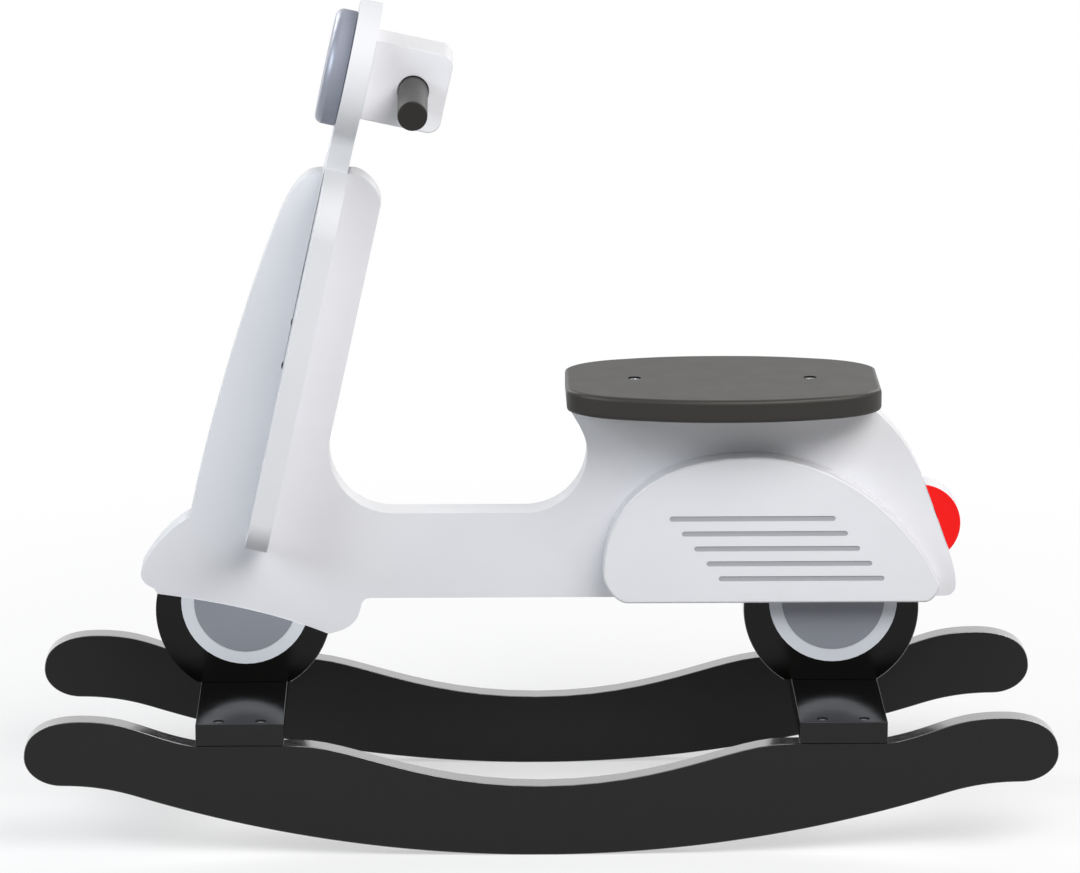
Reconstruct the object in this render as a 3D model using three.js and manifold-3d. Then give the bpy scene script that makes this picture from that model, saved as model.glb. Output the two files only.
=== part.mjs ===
// A rocking scooter for a small child: a scooter cut from flat painted boards, standing on two
// curved rockers. Millimetres, +Z up. X runs along the toy with its front at -X, Y runs across
// it, and the origin is on the floor under the middle of the rockers. Left and right are the
// rider's, so the left side is at -Y.

import * as THREE from 'three';
import { mergeVertices } from 'three/addons/utils/BufferGeometryUtils.js';
import Module from 'manifold-3d';

const wasm = await Module();
wasm.setup();

// Boards and clearances
const BOARD = 17; // leg shield and crossbars
const LAMP_BOARD = 16;
const SEAT_BOARD = 18;
const ROCKER_BOARD = 18;
const COVER_BOARD = 20;
const PANEL_BOARD = 28; // body panel, wheels and tail light
const FIT_GAP = 0.3; // between pieces that seat on or in each other
const CUT_OVERRUN = 5; // how far a cutter stands out of what it cuts

// Rockers: half of the outline is drawn and mirrored
const ROCKER_LENGTH = 790;
const TRACK_WIDTH = 262; // over the outer faces of both rockers
const BELLY_RADIUS = 1022;
const SOLE_LENGTH = 24; // short flat where the level toy touches the floor
const TOE_RUN = 85; // from the tip back to the end of the belly arc
const TOE_LIP_RUN = 29; // from the tip back to the lowest point of the toe
const TOE_RISE = 8.5; // from the end of the belly arc up to that point
const TOE_DEPTH = 51;
const TIP_DROP = 28.5; // from the crest down to the foremost point
const CREST_RUN = 43; // from the tip back to the crest
const SADDLE_HEIGHT = 87.6; // flat seats for the crossbars
const SADDLE_INNER_SPARE = 11;
const SADDLE_OUTER_SPARE = 1;
const WAIST_HEIGHT = 55.1; // top of the rocker at its middle

// Crossbars
const CROSSBAR_OUTSET = 1.75; // from above each axle out to the middle of its crossbar
const CROSSBAR_WIDTH = 67;
const CROSSBAR_SCREW_SPACING = 32;

// Wheels: the part of each wheel below the body is a board of its own
const WHEEL_BASE = 457.5;
const TYRE_RADIUS = 68.3;
const TYRE_DROP = 6.9; // the tyre's circle has its middle below the axle's, and a little ahead
const TYRE_AHEAD = 1.5;
const TYRE_FLAT = 10.5; // cut off the bottom, where the wheel stands on the crossbar
const RING_RADIUS = 50;
const HUB_RADIUS = 40;
const FILM = 0.3;
const RIM_REAR_DEG = -16.3; // where the fender line meets the front tyre
const RIM_FRONT_DEG = 168.5;
const WHEEL_SCREW_SPACING = 26;

// Body panel: heights are above its bottom edge
const BODY_OVER_AXLE = 2.6;
const FLOOR_RISE = 68;
const SEAT_REST_RISE = 153.5;
const STEP_FILLET = 50;
const SEAT_FILLET = 48;
const TAIL_REACH = 95.5; // behind the rear axle
const TAIL_CORNER = 8;
const TAIL_SIDE_RISE = 8.5;

// Stem: distances up are along the leaning leg shield, from the front axle
const STEM_LEAN_DEG = 12.4;
const STEM_AHEAD = 1.6; // from the line through the front axle to the middle of the shield board
const COLUMN_TOP_UP = 347;
const COLUMN_SHOULDER_UP = 330;
const COLUMN_BEHIND = 37.2; // behind the line through the front axle, like the next three
const WEDGE_SHOULDER_UP = 309;
const WEDGE_SHOULDER_AHEAD = 36;
const WEDGE_TOP_AHEAD = 14;
const COLUMN_TOP_BEHIND = 10;
const LAP_UP = 188; // bottom of the panel's slot, top of the shield's slot
const SLOT_TOP_GAP = 1.3; // the slot widens upwards, and shows as a dark line there
const SLOT_FOOT_GAP = 0.2;
const NOTCH_HEIGHT = 6.4; // two small reliefs in the front wall of the slot
const NOTCH_DEPTH = 1.1;
const NOTCH_PITCH = 35.5;
const NOTCH_UP = 191;

// Leg shield, across the toy
const SHIELD_FOOT_UP = 50;
const SHIELD_FOOT_WIDTH = 136;
const SHIELD_WIDTH = 160;
const SHIELD_CORNER = 28;
const SHOULDER_UP = 352; // where the neck leaves the shoulders
const SHOULDER_DROP = 46;
const NECK_WIDTH = 56;
const NECK_FILLET = 14;
const HEAD_UP = 425.5; // centre of head, headlight and block
const HEAD_RADIUS = 55;

// Headlight
const LAMP_RADIUS = 44.6;
const LAMP_ROUNDING = 6;
const LAMP_DOWEL_SPACING = 56;

// Handlebar and its block
const BLOCK_HEIGHT = 62;
const BLOCK_LENGTH = 61;
const BLOCK_WIDTH = 54;
const BLOCK_CORNER = 10;
const BLOCK_SCREW_SPACING = 30;
const HANDLEBAR_LENGTH = 262;
const HANDLEBAR_RADIUS = 11.25;
const HANDLEBAR_BEHIND = 44; // behind the middle of the shield board
const HANDLEBAR_DROP = 1.4; // below the middle of the block
const HANDLEBAR_ROUNDING = 1;
const BORE_MOUTH_GAP = 1; // the bore opens out where the bar leaves the block
const BORE_MOUTH_DEPTH = 3;

// Seat
const SEAT_LENGTH = 242.3;
const SEAT_WIDTH = 157;
const SEAT_END_WIDTH = 76;
const SEAT_ROUNDING = 3;
const SEAT_MIDDLE_AHEAD = 87; // ahead of the rear axle
const SEAT_SCREW_SPACING = 136;
const POST_SETBACK = 16.3; // from the front of the seat to the front of the seat post
const REST_FRONT_SETBACK = 0.8;
const REST_REAR_SETBACK = 10.3;

// Side covers
const COVER_LENGTH = 261.5;
const COVER_HEIGHT = 116.3;
const COVER_REACH = 81.5; // behind the rear axle
const COVER_PEAK = 116.5; // from the front of the cover to its highest point
const COVER_FRONT_CORNER = 19;
const COVER_FRONT_RISE = 24;
const COVER_REAR_CORNER = 11;
const COVER_REAR_RISE = 14;
const LINE_COUNT = 5;
const LINE_LENGTH = 128.5;
const LINE_WIDTH = 4.2;
const LINE_DEPTH = 0.6;
const LINE_PITCH = 12;
const LINE_STEP = 9.6; // each line starts this much behind the one above it
const TOP_LINE_RISE = 67.6;
const TOP_LINE_SETBACK = 51.4; // front end of the top line, from the front of the cover
const COVER_DOWEL_BITE = 9;

// Tail light
const TAIL_LIGHT_HEIGHT = 55.8;
const TAIL_LIGHT_LEAN_DEG = 20;
const TAIL_LIGHT_BULGE = 17.2;
const TAIL_LIGHT_FOOT_REACH = 89.6; // behind the rear axle
const TAIL_LIGHT_FOOT_RISE = 36.6;
const TAIL_DOWEL_BITE = 9;

// Fasteners
const SCREW_RADIUS = 2.2;
const SCREW_HEAD_RADIUS = 4;
const SEAT_SCREW_HEAD_RADIUS = 5;
const SCREW_HEAD_DEPTH = 2.4;
const SCREW_POINT = 5;
const BODY_SCREW_LENGTH = 42;
const WHEEL_SCREW_LENGTH = 50;
const BLOCK_SCREW_LENGTH = 45;
const BAR_SCREW_LENGTH = 32;
const DOWEL_RADIUS = 4;
const WHEEL_DOWEL_LENGTH = 36;

// Shares of the tyre radius, from the axle, that place the fender's points
const LIP_SHARES = [-1.038, 0.162];
const NOSE_SHARES = [-1.142, 0.463];
const CROWN_SHARES = [-0.621, 0.996];
const LOBE_SIDE_SHARES = [1.308, -0.086];
const LOBE_ENTRY_SHARE = 1.433;
const WHEEL_DOWEL_SHARES = [-0.56, 0.44];

// Handles of the curves, as shares of the span that each curve crosses
const HANDLE_SHARES = {
  toeUnder: [0.3, 0.62, 0.62, 1],
  toeLip: [0.55, 0, 1, 0.45],
  toeTop: [0, 0.7, 0.4, 1],
  crestFall: [0.45, 0, 0.55, 0.6],
  waistFall: [0.217, 0, 0.485, 1],
  fenderJoint: [0.3, 0.51, 0.62, 0.79],
  fenderNose: [1.27, 0.17, 1.9, 0.51],
  fenderBrow: [0.17, 0.27, 0.51, 0.75],
  wedgeFront: [0.2, 0.3, 0.655, 0.756],
  wedgeTop: [0.31, 0.65, 0.59, 1],
  columnTop: [0.456, 0, 1, 0.55],
  postFront: [0, 0.38, 0.5, 0.64],
  tailBack: [0.4, 0.21, 0.78, 0.54],
  tailSide: [0.5, 0.3, 1, 0.65],
  lobeEntry: [0.76, 0, 0.88, 0.44],
  lobeFoot: [0.1, 0.6, 0.42, 0.87],
  shieldShoulder: [0, 0.62, 0.36, 1],
  seatCorner: [0.06, 0.34, 0.36, 0.8],
  seatSide: [0.34, 0.72, 0.6, 1],
  coverFront: [0, 0.51, 0.262, 1],
  coverBack: [0.392, 0, 0.79, 0.378],
  roundCorner: [0.45, 0, 1, 0.55],
  cornerUp: [0, 0.45, 0.55, 1],
};
const SEAT_SHOULDER_SHARES = [0.36, 0.87]; // of half the seat's length and width
const COVER_DOWEL_SHARES = [[0.2, 0.25], [0.42, 0.72], [0.74, 0.25]]; // of the cover's length and height

const CURVE_STEPS = 12;
const ROUND_STEPS = 48;
const SMALL_ROUND_STEPS = 16;
const SEAT_ROUNDING_STEPS = 2;
const SQUARE_TURN = Math.PI / 2;

// Heights and places that follow from the sizes above
const crossbarBase = SADDLE_HEIGHT + FIT_GAP;
const crossbarTop = crossbarBase + BOARD;
const wheelFoot = crossbarTop + FIT_GAP;
const tyreMiddle = wheelFoot + TYRE_RADIUS - TYRE_FLAT;
const axleHeight = tyreMiddle + TYRE_DROP;
const bodyBottom = axleHeight + BODY_OVER_AXLE;
const floorHeight = bodyBottom + FLOOR_RISE;
const seatRest = bodyBottom + SEAT_REST_RISE;
const frontAxle = -WHEEL_BASE / 2;
const rearAxle = WHEEL_BASE / 2;
const frontCrossbar = frontAxle - CROSSBAR_OUTSET;
const rearCrossbar = rearAxle + CROSSBAR_OUTSET;
const lean = THREE.MathUtils.degToRad(STEM_LEAN_DEG);
const seatMiddle = rearAxle - SEAT_MIDDLE_AHEAD;
const seatFront = seatMiddle - SEAT_LENGTH / 2;
const seatRear = seatMiddle + SEAT_LENGTH / 2;
const coverFront = rearAxle + COVER_REACH - COVER_LENGTH;
const rockerMiddle = (TRACK_WIDTH - ROCKER_BOARD) / 2;
const panelFace = PANEL_BOARD / 2;

// Colours of the finishes
const WHITE = { color: 0xe6e6ea, roughness: 0.45, metalness: 0 };
const BLACK = { color: 0x2a2a2c, roughness: 0.4, metalness: 0 };
const RUBBER_BLACK = { color: 0x1e1d1c, roughness: 0.6, metalness: 0 };
const SEAT_GREY = { color: 0x4a484a, roughness: 0.6, metalness: 0 };
const LAMP_GREY = { color: 0x878d97, roughness: 0.35, metalness: 0.4 };
const HUB_GREY = { color: 0x85878f, roughness: 0.5, metalness: 0 };
const RING_WHITE = { color: 0xd0d4dc, roughness: 0.5, metalness: 0 };
const RED = { color: 0xf12523, roughness: 0.4, metalness: 0 };
const STEEL = { color: 0x6b6b6e, roughness: 0.35, metalness: 0.9 };
const WOOD = { color: 0xd9b98a, roughness: 0.8, metalness: 0 };

// The toy's group, the group of all that is drawn in side view, and the leaning stem's group.
// In side view x runs rearwards, y up and z to the rider's left.
const scooter = new THREE.Group();
const side = new THREE.Group();
side.rotation.x = SQUARE_TURN;
scooter.add(side);
const stem = new THREE.Group();
stem.position.set(...stemPoint(0, -STEM_AHEAD), 0);
stem.rotation.z = -lean;
side.add(stem);

function addPiece(parent, name, geometry, finish) {
  const mesh = new THREE.Mesh(geometry, new THREE.MeshStandardMaterial(finish));
  mesh.name = name;
  parent.add(mesh);
  return mesh;
}

// A curve from the shape's last point, with its two handles at shares of the span
function curveTo(path, [x, y], [ax, ay, bx, by]) {
  const from = path.currentPoint.clone();
  const dx = x - from.x;
  const dy = y - from.y;
  path.bezierCurveTo(from.x + ax * dx, from.y + ay * dy, from.x + bx * dx, from.y + by * dy, x, y);
}

// A closed outline from its right half, which runs from the foot of the mirror line to the top
function mirroredShape(half) {
  const right = half.getPoints(CURVE_STEPS);
  const left = right.filter((point) => point.x > 0).map((point) => new THREE.Vector2(-point.x, point.y));
  return new THREE.Shape([...right, ...left.reverse()]);
}

// A flat board drawn in its own plane, with its middle plane at z = 0
function boardGeometry(shape, thickness) {
  const settings = { depth: thickness, bevelEnabled: false, curveSegments: CURVE_STEPS };
  const geometry = new THREE.ExtrudeGeometry(shape, settings);
  return geometry.translate(0, 0, -thickness / 2);
}

function toSolid(geometry) {
  const bare = geometry.clone();
  bare.deleteAttribute('normal');
  bare.deleteAttribute('uv');
  const merged = mergeVertices(bare);
  const vertProperties = Float32Array.from(merged.attributes.position.array);
  const triVerts = Uint32Array.from(merged.index.array);
  return new wasm.Manifold(new wasm.Mesh({ numProp: 3, vertProperties, triVerts }));
}

function toGeometry(solid) {
  const { vertProperties, triVerts } = solid.getMesh();
  const geometry = new THREE.BufferGeometry();
  geometry.setAttribute('position', new THREE.BufferAttribute(vertProperties, 3));
  geometry.setIndex(new THREE.BufferAttribute(triVerts, 1));
  geometry.computeVertexNormals();
  return geometry;
}

function cut(geometry, cutters) {
  let solid = toSolid(geometry);
  for (const cutter of cutters) {
    solid = solid.subtract(toSolid(cutter));
  }
  return toGeometry(solid);
}

// Screws stand on their points along y, with the flat head's top at y = 0
function screwGeometry(length, headRadius = SCREW_HEAD_RADIUS) {
  const profile = [
    [0, -length],
    [SCREW_RADIUS, SCREW_POINT - length],
    [SCREW_RADIUS, -SCREW_HEAD_DEPTH],
    [headRadius, 0],
    [0, 0],
  ];
  return latheGeometry(profile, SMALL_ROUND_STEPS);
}

// The room that such a screw needs, open above its head
function screwRoom(length, headRadius = SCREW_HEAD_RADIUS) {
  const shank = SCREW_RADIUS + FIT_GAP;
  const head = headRadius + FIT_GAP;
  const profile = [
    [0, -length - FIT_GAP],
    [shank, -length - FIT_GAP],
    [shank, -SCREW_HEAD_DEPTH - FIT_GAP],
    [head, -FIT_GAP],
    [head, CUT_OVERRUN],
    [0, CUT_OVERRUN],
  ];
  return latheGeometry(profile, SMALL_ROUND_STEPS);
}

function latheGeometry(profile, steps) {
  return new THREE.LatheGeometry(profile.map(([radius, height]) => new THREE.Vector2(radius, height)), steps);
}

// A dowel and its hole, along y
function dowelGeometry(length) {
  return new THREE.CylinderGeometry(DOWEL_RADIUS, DOWEL_RADIUS, length, SMALL_ROUND_STEPS);
}

function dowelRoom(length) {
  const radius = DOWEL_RADIUS + FIT_GAP;
  return new THREE.CylinderGeometry(radius, radius, length + 2 * FIT_GAP, SMALL_ROUND_STEPS);
}

// A geometry of the stem's group as it stands in the side view
function fromStem(geometry) {
  return geometry.rotateZ(-lean).translate(...stemPoint(0, -STEM_AHEAD), 0);
}

// Places in the side view: up the stem and behind the leaning line through the front axle
function stemPoint(up, behind) {
  const x = frontAxle + up * Math.sin(lean) + behind * Math.cos(lean);
  const y = axleHeight + up * Math.cos(lean) - behind * Math.sin(lean);
  return [x, y];
}

function stemAtHeight(y, behind) {
  const x = frontAxle + (y - axleHeight) * Math.tan(lean) + behind / Math.cos(lean);
  return [x, y];
}

function fromFrontAxle([xShare, yShare]) {
  return [frontAxle + xShare * TYRE_RADIUS, axleHeight + yShare * TYRE_RADIUS];
}

function onFrontTyre(degrees) {
  const angle = THREE.MathUtils.degToRad(degrees);
  const x = frontAxle - TYRE_AHEAD + TYRE_RADIUS * Math.cos(angle);
  return [x, tyreMiddle + TYRE_RADIUS * Math.sin(angle)];
}

// Rockers

function rockerShape() {
  const tip = ROCKER_LENGTH / 2;
  const soleEnd = SOLE_LENGTH / 2;
  const bellyEnd = tip - TOE_RUN;
  const bellyCentre = Math.sqrt(BELLY_RADIUS ** 2 - soleEnd ** 2);
  const bellyRise = bellyCentre - Math.sqrt(BELLY_RADIUS ** 2 - bellyEnd ** 2);
  const toeFloor = bellyRise + TOE_RISE;
  const crest = toeFloor + TOE_DEPTH;
  const start = -Math.acos(soleEnd / BELLY_RADIUS);
  const end = -Math.acos(bellyEnd / BELLY_RADIUS);
  const half = new THREE.Path();
  half.moveTo(0, 0);
  half.lineTo(soleEnd, 0);
  half.absarc(0, bellyCentre, BELLY_RADIUS, start, end, false);
  curveTo(half, [tip - TOE_LIP_RUN, toeFloor], HANDLE_SHARES.toeUnder);
  curveTo(half, [tip, crest - TIP_DROP], HANDLE_SHARES.toeLip);
  curveTo(half, [tip - CREST_RUN, crest], HANDLE_SHARES.toeTop);
  const saddleOuter = rearCrossbar + CROSSBAR_WIDTH / 2 + SADDLE_OUTER_SPARE;
  const saddleInner = rearCrossbar - CROSSBAR_WIDTH / 2 - SADDLE_INNER_SPARE;
  curveTo(half, [saddleOuter, SADDLE_HEIGHT], HANDLE_SHARES.crestFall);
  half.lineTo(saddleInner, SADDLE_HEIGHT);
  curveTo(half, [0, WAIST_HEIGHT], HANDLE_SHARES.waistFall);
  return mirroredShape(half);
}

// The two screw places of each crossbar end, along x
function crossbarScrewPlaces() {
  const offset = CROSSBAR_SCREW_SPACING / 2;
  return [-offset, offset];
}

function addRockers() {
  const holes = [];
  for (const middle of [frontCrossbar, rearCrossbar]) {
    for (const offset of crossbarScrewPlaces()) {
      holes.push(screwRoom(BODY_SCREW_LENGTH).translate(middle + offset, crossbarTop, 0));
    }
  }
  for (const [name, z] of [['rocker_left', rockerMiddle], ['rocker_right', -rockerMiddle]]) {
    const geometry = cut(boardGeometry(rockerShape(), ROCKER_BOARD), holes);
    addPiece(side, name, geometry, BLACK).position.z = z;
  }
}

// Crossbars and the screws that hold them

function addCrossbar(name, middle, axle) {
  const holes = [];
  for (const z of [rockerMiddle, -rockerMiddle]) {
    for (const x of crossbarScrewPlaces()) {
      holes.push(screwRoom(BODY_SCREW_LENGTH).translate(x, BOARD / 2, z));
    }
  }
  for (const offset of wheelScrewPlaces()) {
    const hole = screwRoom(WHEEL_SCREW_LENGTH).rotateX(Math.PI);
    holes.push(hole.translate(axle - middle + offset, -BOARD / 2, 0));
  }
  const geometry = cut(new THREE.BoxGeometry(CROSSBAR_WIDTH, BOARD, TRACK_WIDTH), holes);
  addPiece(side, name, geometry, BLACK).position.set(middle, crossbarBase + BOARD / 2, 0);
}

function addCrossbarScrews(end, middle) {
  const sides = [['left', rockerMiddle], ['right', -rockerMiddle]];
  for (const [hand, z] of sides) {
    crossbarScrewPlaces().forEach((offset, index) => {
      const name = `crossbar_screw_${end}_${hand}_${index + 1}`;
      const screw = addPiece(side, name, screwGeometry(BODY_SCREW_LENGTH), STEEL);
      screw.position.set(middle + offset, crossbarTop, z);
    });
  }
}

// Wheels

function wheelScrewPlaces() {
  const offset = WHEEL_SCREW_SPACING / 2;
  return [-offset, offset];
}

function wheelDowelPlaces() {
  return WHEEL_DOWEL_SHARES.map((share) => share * TYRE_RADIUS);
}

// The line where the front wheel meets the fender, from the rear of the tyre to its front
function fenderJoint() {
  const [ax, ay, bx, by] = HANDLE_SHARES.fenderJoint;
  const from = new THREE.Vector2(...onFrontTyre(RIM_REAR_DEG));
  const to = new THREE.Vector2(...onFrontTyre(RIM_FRONT_DEG));
  const span = to.clone().sub(from);
  const nearHandle = new THREE.Vector2(from.x + ax * span.x, from.y + ay * span.y);
  const farHandle = new THREE.Vector2(from.x + bx * span.x, from.y + by * span.y);
  return new THREE.CubicBezierCurve(from, nearHandle, farHandle, to).getPoints(CURVE_STEPS);
}

// Height of the fender joint at x
function fenderJointHeight(x) {
  const points = fenderJoint();
  const next = points.findIndex((point) => point.x < x);
  const a = points[next - 1];
  const b = points[next];
  return THREE.MathUtils.mapLinear(x, a.x, b.x, a.y, b.y);
}

// The outline of a wheel board: along its joint with the body, then round the tyre
function wheelShape(axle, joint, rearAngle, frontAngle) {
  const flatAngle = Math.asin((TYRE_RADIUS - TYRE_FLAT) / TYRE_RADIUS);
  const middle = axle - TYRE_AHEAD;
  const shape = new THREE.Shape(joint);
  shape.absarc(middle, tyreMiddle, TYRE_RADIUS, frontAngle, Math.PI + flatAngle, false);
  shape.absarc(middle, tyreMiddle, TYRE_RADIUS, -flatAngle, rearAngle, false);
  return shape;
}

function frontWheelShape() {
  const rearAngle = THREE.MathUtils.degToRad(RIM_REAR_DEG);
  const frontAngle = THREE.MathUtils.degToRad(RIM_FRONT_DEG);
  return wheelShape(frontAxle, fenderJoint(), rearAngle, frontAngle);
}

function rearWheelShape() {
  const topAngle = Math.asin((bodyBottom - tyreMiddle) / TYRE_RADIUS);
  const reach = TYRE_RADIUS * Math.cos(topAngle);
  const middle = rearAxle - TYRE_AHEAD;
  const joint = [
    new THREE.Vector2(middle + reach, bodyBottom),
    new THREE.Vector2(middle - reach, bodyBottom),
  ];
  return wheelShape(rearAxle, joint, topAngle, Math.PI - topAngle);
}

// Thin printed films on both faces: a pale disc, and a grey hub disc on top of it
function addWheelFilms(name, shape, axle) {
  const window = toSolid(boardGeometry(shape, PANEL_BOARD + 2 * CUT_OVERRUN));
  const layers = [['ring', RING_RADIUS, 0, RING_WHITE], ['hub', HUB_RADIUS, FILM, HUB_GREY]];
  for (const [layer, radius, lift, finish] of layers) {
    for (const [hand, sign] of [['left', 1], ['right', -1]]) {
      const disc = new THREE.CylinderGeometry(radius, radius, FILM, ROUND_STEPS).rotateX(SQUARE_TURN);
      disc.translate(axle, axleHeight, sign * (panelFace + lift + FILM / 2));
      addPiece(side, `${name}_${layer}_${hand}`, toGeometry(toSolid(disc).intersect(window)), finish);
    }
  }
}

function addWheel(name, shape, axle, jointHeight) {
  const holes = [];
  for (const offset of wheelScrewPlaces()) {
    const hole = screwRoom(WHEEL_SCREW_LENGTH).rotateX(Math.PI);
    holes.push(hole.translate(axle + offset, crossbarBase, 0));
  }
  for (const offset of wheelDowelPlaces()) {
    holes.push(dowelRoom(WHEEL_DOWEL_LENGTH).translate(axle + offset, jointHeight(axle + offset), 0));
  }
  addPiece(side, name, cut(boardGeometry(shape, PANEL_BOARD), holes), RUBBER_BLACK);
  addWheelFilms(name, shape, axle);
  wheelScrewPlaces().forEach((offset, index) => {
    const screw = addPiece(side, `${name}_screw_${index + 1}`, screwGeometry(WHEEL_SCREW_LENGTH), STEEL);
    screw.position.set(axle + offset, crossbarBase, 0);
    screw.rotation.x = Math.PI;
  });
  wheelDowelPlaces().forEach((offset, index) => {
    const dowel = addPiece(side, `${name}_dowel_${index + 1}`, dowelGeometry(WHEEL_DOWEL_LENGTH), WOOD);
    dowel.position.set(axle + offset, jointHeight(axle + offset), 0);
  });
}

// Body panel

function tailLightFoot() {
  return new THREE.Vector2(rearAxle + TAIL_LIGHT_FOOT_REACH, bodyBottom + TAIL_LIGHT_FOOT_RISE);
}

function tailLightTop() {
  const tilt = THREE.MathUtils.degToRad(TAIL_LIGHT_LEAN_DEG);
  const rise = new THREE.Vector2(-Math.sin(tilt), Math.cos(tilt)).multiplyScalar(TAIL_LIGHT_HEIGHT);
  return tailLightFoot().add(rise);
}

function bodyFront(shape) {
  const top = axleHeight + COLUMN_TOP_UP * Math.cos(lean);
  for (const point of fenderJoint().slice(1)) {
    shape.lineTo(point.x, point.y);
  }
  shape.lineTo(...fromFrontAxle(LIP_SHARES));
  curveTo(shape, fromFrontAxle(NOSE_SHARES), HANDLE_SHARES.fenderNose);
  curveTo(shape, fromFrontAxle(CROWN_SHARES), HANDLE_SHARES.fenderBrow);
  curveTo(shape, stemPoint(WEDGE_SHOULDER_UP, -WEDGE_SHOULDER_AHEAD), HANDLE_SHARES.wedgeFront);
  curveTo(shape, stemAtHeight(top, -WEDGE_TOP_AHEAD), HANDLE_SHARES.wedgeTop);
  shape.lineTo(...stemAtHeight(top, COLUMN_TOP_BEHIND));
  curveTo(shape, stemPoint(COLUMN_SHOULDER_UP, COLUMN_BEHIND), HANDLE_SHARES.columnTop);
}

function bodyMiddle(shape) {
  const fillet = stemAtHeight(floorHeight + STEP_FILLET, COLUMN_BEHIND + STEP_FILLET);
  const tangent = Math.PI - lean;
  shape.absarc(fillet[0], fillet[1], STEP_FILLET, tangent, 3 * SQUARE_TURN, false);
  const post = seatFront + POST_SETBACK;
  shape.absarc(post - SEAT_FILLET, floorHeight + SEAT_FILLET, SEAT_FILLET, -SQUARE_TURN, 0, false);
  curveTo(shape, [seatFront + REST_FRONT_SETBACK, seatRest], HANDLE_SHARES.postFront);
}

function bodyRear(shape) {
  const foot = tailLightFoot();
  const top = tailLightTop();
  const tailEnd = rearAxle + TAIL_REACH;
  shape.lineTo(seatRear - REST_REAR_SETBACK, seatRest);
  curveTo(shape, [top.x, top.y], HANDLE_SHARES.tailBack);
  shape.lineTo(foot.x, foot.y);
  curveTo(shape, [tailEnd, bodyBottom + TAIL_SIDE_RISE], HANDLE_SHARES.tailSide);
  shape.absarc(tailEnd - TAIL_CORNER, bodyBottom + TAIL_CORNER, TAIL_CORNER, 0, -SQUARE_TURN, true);
  shape.lineTo(frontAxle + LOBE_ENTRY_SHARE * TYRE_RADIUS, bodyBottom);
  curveTo(shape, fromFrontAxle(LOBE_SIDE_SHARES), HANDLE_SHARES.lobeEntry);
  curveTo(shape, onFrontTyre(RIM_REAR_DEG), HANDLE_SHARES.lobeFoot);
}

function slotCutter() {
  const back = BOARD / 2 + FIT_GAP;
  const front = -BOARD / 2;
  const top = COLUMN_TOP_UP + WEDGE_TOP_AHEAD + CUT_OVERRUN;
  const slot = new THREE.Shape();
  slot.moveTo(back, LAP_UP);
  slot.lineTo(back, top);
  slot.lineTo(front - SLOT_TOP_GAP, top);
  slot.lineTo(front - SLOT_FOOT_GAP, LAP_UP);
  return fromStem(boardGeometry(slot, PANEL_BOARD + 2 * CUT_OVERRUN));
}

function notchCutters() {
  const radius = NOTCH_HEIGHT / 2;
  const wall = -BOARD / 2 - SLOT_FOOT_GAP;
  return [0, 1].map((index) => {
    const length = PANEL_BOARD + 2 * CUT_OVERRUN;
    const notch = new THREE.CylinderGeometry(radius, radius, length, SMALL_ROUND_STEPS);
    notch.rotateX(SQUARE_TURN).scale(NOTCH_DEPTH / radius, 1, 1);
    return fromStem(notch.translate(wall, NOTCH_UP + index * NOTCH_PITCH, 0));
  });
}

function seatScrewPlaces() {
  const offset = SEAT_SCREW_SPACING / 2;
  return [-offset, offset];
}

function coverDowelPlaces() {
  return COVER_DOWEL_SHARES.map(([xShare, yShare]) => {
    return [coverFront + xShare * COVER_LENGTH, bodyBottom + yShare * COVER_HEIGHT];
  });
}

function coverDowelLength() {
  return PANEL_BOARD + 2 * COVER_DOWEL_BITE;
}

// Middle of the tail light's dowel, and its turn from y to the way that the light faces
function placeTailDowel(item) {
  const tilt = THREE.MathUtils.degToRad(TAIL_LIGHT_LEAN_DEG);
  const middle = tailLightFoot().add(tailLightTop()).multiplyScalar(1 / 2);
  return item.rotateZ(tilt - SQUARE_TURN).translate(middle.x, middle.y, 0);
}

function addBodyPanel() {
  const shape = new THREE.Shape();
  shape.moveTo(...onFrontTyre(RIM_REAR_DEG));
  bodyFront(shape);
  bodyMiddle(shape);
  bodyRear(shape);
  const holes = [slotCutter(), ...notchCutters()];
  for (const offset of wheelDowelPlaces()) {
    const front = frontAxle + offset;
    holes.push(dowelRoom(WHEEL_DOWEL_LENGTH).translate(front, fenderJointHeight(front), 0));
    holes.push(dowelRoom(WHEEL_DOWEL_LENGTH).translate(rearAxle + offset, bodyBottom, 0));
  }
  for (const offset of seatScrewPlaces()) {
    const hole = screwRoom(BODY_SCREW_LENGTH);
    holes.push(hole.translate(seatMiddle + offset, seatRest + FIT_GAP + SEAT_BOARD, 0));
  }
  for (const [x, y] of coverDowelPlaces()) {
    holes.push(dowelRoom(coverDowelLength()).rotateX(SQUARE_TURN).translate(x, y, 0));
  }
  holes.push(placeTailDowel(dowelRoom(2 * TAIL_DOWEL_BITE)));
  addPiece(side, 'body_panel', cut(boardGeometry(shape, PANEL_BOARD), holes), WHITE);
}

// Leg shield: drawn across the toy with x to the rider's right and y up the stem

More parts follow.
